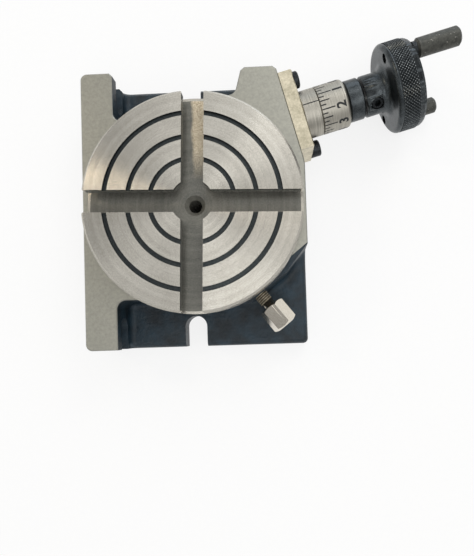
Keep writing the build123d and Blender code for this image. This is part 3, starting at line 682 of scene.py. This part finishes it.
# oil and dust have settled in the thread's groove, in patches of 1.4 mm, and its crest is
# wiped clean
threads = []
for name, metallic, roughness, dark, light in (
    ("oily_thread_groove", 0.4, 0.5, "2b2823", "4a453b"),
    ("wiped_thread_crest", 1.0, 0.35, "867d6c", "b5ab95"),
):
    finish, tree, shader, place = new_finish(name, metallic, roughness)
    dust = add(
        tree, "ShaderNodeTexNoise", [("Vector", place), ("Scale", 700.0), ("Detail", 4.0)]
    ).outputs["Fac"]
    tone = add(tree, "ShaderNodeValToRGB", [(0, dust)], [(0.35, dark), (0.7, light)])
    tree.links.new(tone.outputs[0], shader.inputs["Base Color"])
    bump = add(tree, "ShaderNodeBump", [("Strength", 0.3), ("Distance", 0.00003), ("Height", dust)])
    tree.links.new(bump.outputs[0], shader.inputs["Normal"])
    threads.append(finish)
oily_groove, wiped_crest = threads
bolt = copy_of(nodes["clamp_bolt"], Matrix.Identity(4))
bolt.parent = None
bolt.matrix_world = Matrix.Identity(4)
bpy.ops.object.select_all(action="DESELECT")
bolt.select_set(True)
bpy.context.view_layer.objects.active = bolt
bpy.ops.object.mode_set(mode="EDIT")
bpy.ops.mesh.select_mode(type="VERT")
bpy.ops.mesh.select_all(action="SELECT")
bpy.ops.mesh.remove_doubles(threshold=same_point)
bpy.ops.object.mode_set(mode="OBJECT")
bpy.ops.object.shade_smooth_by_angle(angle=radians(12))
bolt.data.materials.clear()
bolt.data.materials.append(nickel)
bolt.data.materials.append(oily_groove)
unlay = clamp_frame.inverted()
for face in bolt.data.polygons:
    face.material_index = int((unlay @ face.center).x < thread_end)
# the thread's crest stands on the shank as a ridge that climbs a millimetre a turn
bpy.ops.object.select_all(action="DESELECT")
bpy.ops.mesh.primitive_plane_add(size=1, location=(0, 0, 0))
thread = bpy.context.object
bpy.ops.object.mode_set(mode="EDIT")
bpy.ops.mesh.delete(type="ONLY_FACE")
bpy.ops.object.mode_set(mode="OBJECT")
profile = (
    (root_radius, 0, -root_half),
    (crest_radius, 0, -crest_half),
    (root_radius, 0, root_half),
    (crest_radius, 0, crest_half),
)
for point, spot in zip(thread.data.vertices, profile):
    point.co = spot
climb = thread.modifiers.new("climb", "SCREW")
climb.axis = "Z"
climb.screw_offset = thread_pitch
climb.iterations = round((thread_end - thread_start) / thread_pitch)
climb.steps = 24
climb.render_steps = 24
climb.use_merge_vertices = False
bpy.ops.object.modifier_apply(modifier="climb")
bpy.ops.object.mode_set(mode="EDIT")
bpy.ops.mesh.select_all(action="SELECT")
bpy.ops.mesh.normals_make_consistent(inside=False)
bpy.ops.object.mode_set(mode="OBJECT")
thread.data.materials.append(oily_groove)
thread.data.materials.append(wiped_crest)
for face in thread.data.polygons:
    face.material_index = int(Vector((face.center.x, face.center.y)).length > 0.0031)
lay = Matrix(((0, 0, 1, thread_start), (0, 1, 0, 0), (-1, 0, 0, 0), (0, 0, 0, 1)))
thread.data.transform(clamp_frame @ lay)
bpy.ops.object.shade_smooth_by_angle(angle=radians(28))
bolt = joined([bolt, thread], "threaded_clamp_bolt")
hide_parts("clamp_bolt")
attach(bolt, "clamp_bolt")

# White paper under the table and all round it. The eye and the metal see it as white,
# and it still takes the soft shadow of the base.
cavity_radius = 0.025
paper, tree, shader, place = new_finish("white_paper", 0.0, 0.9)
# fibres in flocks of 2.5 mm
fibre = add(tree, "ShaderNodeTexNoise", [("Vector", place), ("Scale", 400.0), ("Detail", 3.0)])
tone = add(tree, "ShaderNodeValToRGB", [(0, fibre.outputs["Fac"])], [(0.3, "f6f6f5"), (0.7, "fafaf9")])
tree.links.new(tone.outputs[0], shader.inputs["Base Color"])
rays = add(tree, "ShaderNodeLightPath")
looked_at = add(
    tree,
    "ShaderNodeMath",
    [(0, rays.outputs["Is Camera Ray"]), (1, rays.outputs["Is Transmission Ray"])],
    operation="MAXIMUM",
)
looked_at = add(
    tree,
    "ShaderNodeMath",
    [(0, looked_at.outputs[0]), (1, rays.outputs["Is Glossy Ray"])],
    operation="MAXIMUM",
)
share = add(tree, "ShaderNodeMath", [(0, looked_at.outputs[0]), (1, 0.8)], operation="MULTIPLY")
# under the open cavity of the base the paper lies in the dark
from_axis = add(tree, "ShaderNodeVectorMath", [(0, place)], operation="LENGTH")
in_light = add(
    tree, "ShaderNodeMath", [(0, from_axis.outputs["Value"]), (1, cavity_radius)], operation="GREATER_THAN"
)
share = add(
    tree, "ShaderNodeMath", [(0, share.outputs[0]), (1, in_light.outputs[0])], operation="MULTIPLY"
)
white = add(tree, "ShaderNodeEmission", [("Strength", 1.0)])
sheet = add(
    tree,
    "ShaderNodeMixShader",
    [(0, share.outputs[0]), (1, shader.outputs[0]), (2, white.outputs[0])],
)
tree.links.new(sheet.outputs[0], tree.nodes["Material Output"].inputs["Surface"])
bpy.ops.object.select_all(action="DESELECT")
bpy.ops.mesh.primitive_plane_add(size=4.0, location=(0, 0, -0.0002))
floor = bpy.context.object
floor.name = "floor"
floor.data.materials.append(paper)

# The studio round it: a white ceiling that greys toward the horizon, with two darker
# parts, over the left and over the near left corner. The eye sees it white.
studio = bpy.data.worlds.new("studio")
bpy.context.scene.world = studio
studio.use_nodes = True
tree = studio.node_tree
rays = add(tree, "ShaderNodeLightPath")
heading = add(tree, "ShaderNodeTexCoord").outputs["Generated"]
slope = add(tree, "ShaderNodeSeparateXYZ", [(0, heading)])
room = add(
    tree,
    "ShaderNodeMapRange",
    [
        ("Value", slope.outputs["Z"]),
        ("From Min", 0.05),
        ("From Max", 0.9),
        ("To Min", 0.36),
        ("To Max", 1.0),
    ],
)
# each darker part: its heading, where it starts and is full, and the light left there
for toward, start, full, left in (
    (Vector((-0.55, 0.30, 0.78)), 0.88, 0.98, 0.05),
    (Vector((-0.31, -0.42, 0.85)), 0.92, 0.98, 0.3),
):
    near = add(tree, "ShaderNodeVectorMath", [(0, heading), (1, toward)], operation="DOT_PRODUCT")
    dim = add(
        tree,
        "ShaderNodeMapRange",
        [
            ("Value", near.outputs["Value"]),
            ("From Min", start),
            ("From Max", full),
            ("To Min", 1.0),
            ("To Max", left),
        ],
    )
    room = add(tree, "ShaderNodeMath", [(0, room.outputs[0]), (1, dim.outputs[0])], operation="MULTIPLY")
seen = add(
    tree,
    "ShaderNodeMath",
    [(0, rays.outputs["Is Camera Ray"]), (1, rays.outputs["Is Transmission Ray"])],
    operation="MAXIMUM",
)
level = add(tree, "ShaderNodeMath", [(0, seen.outputs[0]), (1, room.outputs[0])], operation="MAXIMUM")
tree.nodes["Background"].inputs["Color"].default_value = (1, 1, 1, 1)
tree.links.new(level.outputs[0], tree.nodes["Background"].inputs["Strength"])

# Four lamps: a wide one over the near side, one on the left whose light falls across
# the slots and draws the streak on the plate's rings, one over the drive, and a low
# window on the far side.
lamp_target = Vector((0.02, 0, 0.04))
for name, spot, size, power, tint in (
    ("slot_light", Vector((-0.64, 0.345, 0.75)), 0.15, 1.1, "ffefd8"),
    ("top_light", Vector((0.15, -0.36, 0.90)), 0.50, 1.4, "ffffff"),
    ("far_light", Vector((0.33, 0.50, 0.62)), 0.30, 1.0, "ffffff"),
    ("window_light", Vector((0.25, 0.80, 0.22)), 0.50, 1.2, "eaf4ff"),
):
    lamp = bpy.data.lights.new(name, "AREA")
    lamp.shape = "SQUARE"
    lamp.size = size
    lamp.energy = power
    lamp.color = srgb(tint)[:3]
    stand = bpy.data.objects.new(name, lamp)
    stand.location = spot
    stand.rotation_euler = (lamp_target - spot).to_track_quat("-Z", "Y").to_euler()
    bpy.context.scene.collection.objects.link(stand)

# The camera stands almost straight above the plate, a quarter of a metre up, where the
# photograph was taken. Its long side is the picture's height of 556.
picture_width = 474
picture_height = 556
focal_pixels = 542.3976
centre_right = 258.4408
centre_down = 309.0516
view = bpy.data.cameras.new("view")
view.sensor_width = 36.0
view.lens = view.sensor_width * focal_pixels / picture_height
view.shift_x = (picture_width / 2 - centre_right) / picture_height
view.shift_y = (centre_down - picture_height / 2) / picture_height
view.clip_start = 0.01
view.clip_end = 10
camera = bpy.data.objects.new("camera", view)
camera.location = (0.035484, -0.057099, 0.285137)
camera.rotation_euler = (0.033209, 0.032581, -0.032020)
bpy.context.scene.collection.objects.link(camera)
bpy.context.scene.camera = camera
bpy.context.scene.view_settings.view_transform = "Standard"
